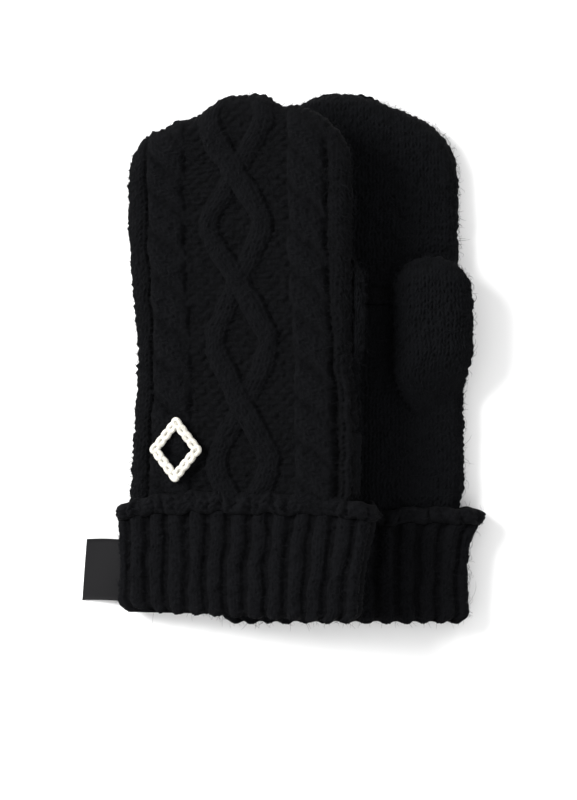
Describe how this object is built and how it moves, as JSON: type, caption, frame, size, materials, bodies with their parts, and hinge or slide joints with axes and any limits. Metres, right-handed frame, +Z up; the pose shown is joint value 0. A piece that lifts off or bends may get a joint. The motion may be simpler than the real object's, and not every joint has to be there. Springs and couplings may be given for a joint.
{
  "type": "convertible flip-top mittens",
  "caption": "Pair of black chunky cable-knit mittens with flip-top finger caps, closed thumbs and turned-up ribbed cuffs, laid flat with one on the other.",
  "frame": {"origin": "middle of the laid pair's footprint, on the surface it lies on", "axes": "+Y towards the fingertips, +Z up, +X towards the thumbs"},
  "size_m": [0.1816, 0.2472, 0.0443],
  "materials": {
    "cable_wool": "chunky cable-knit wool",
    "plain_wool": "plain-knit wool",
    "rib_wool": "ribbed wool",
    "chain_yarn": "off-white chain-stitch yarn",
    "label_satin": "woven satin label"
  },
  "bodies": {
    "right_hand": {"right_hand_back": "cable_wool", "right_hand_palm": "plain_wool", "right_wrist_rib": "rib_wool", "right_finger_index": "rib_wool", "right_finger_middle": "rib_wool", "right_finger_ring": "rib_wool", "right_finger_little": "rib_wool"},
    "right_cap": {"right_cap_back": "cable_wool", "right_cap_palm": "plain_wool", "right_cap_hem": "rib_wool"},
    "right_thumb": {"right_thumb": "plain_wool"},
    "right_cuff": {"right_cuff_turnup": "rib_wool", "right_cuff_rolled_edge": "rib_wool"},
    "left_hand": {"left_hand_back": "cable_wool", "left_hand_palm": "plain_wool", "left_wrist_rib": "rib_wool", "left_finger_index": "rib_wool", "left_finger_middle": "rib_wool", "left_finger_ring": "rib_wool", "left_finger_little": "rib_wool", "left_motif": "chain_yarn"},
    "left_cap": {"left_cap_back": "cable_wool", "left_cap_palm": "plain_wool", "left_cap_hem": "rib_wool"},
    "left_thumb": {"left_thumb": "plain_wool"},
    "left_cuff": {"left_cuff_turnup": "rib_wool", "left_cuff_rolled_edge": "rib_wool"},
    "label": {"left_label": "label_satin"}
  },
  "joints": [
    {"name": "right_flip", "type": "hinge", "parent": "right_hand", "child": "right_cap", "pos_m": [0.03178, 0.02653, -0.003], "axis": [-1, 0, 0], "range_deg": [0, 165], "deforming": ["right_finger_index", "right_finger_middle", "right_finger_ring", "right_finger_little"]},
    {"name": "right_thumb_swing", "type": "hinge", "parent": "right_hand", "child": "right_thumb", "pos_m": [0.06978, -0.01462, 0.0183], "axis": [0, 0, -1], "range_deg": [0, 35]},
    {"name": "right_cuff_slide", "type": "slide", "parent": "right_hand", "child": "right_cuff", "axis": [0, -1, 0], "range_m": [0, 0.045]},
    {"name": "left_lift", "type": "slide", "parent": "right_hand", "child": "left_hand", "axis": [0, 0, 1], "range_m": [0, 0.12]},
    {"name": "left_flip", "type": "hinge", "parent": "left_hand", "child": "left_cap", "pos_m": [-0.02027, 0.02903, 0.03145], "axis": [0.9558, 0, 0.294], "range_deg": [0, 165], "deforming": ["left_finger_index", "left_finger_middle", "left_finger_ring", "left_finger_little"]},
    {"name": "left_thumb_swing", "type": "hinge", "parent": "left_hand", "child": "left_thumb", "pos_m": [0.02232, -0.01212, 0.02227], "axis": [0.294, 0, -0.9558], "range_deg": [0, 35]},
    {"name": "left_cuff_slide", "type": "slide", "parent": "left_hand", "child": "left_cuff", "axis": [0, -1, 0], "range_m": [0, 0.045]},
    {"name": "label_fold", "type": "hinge", "parent": "left_cuff", "child": "label", "pos_m": [-0.07406, -0.09862, 0.00632], "axis": [0, 1, 0], "range_deg": [0, 90]}
  ]
}
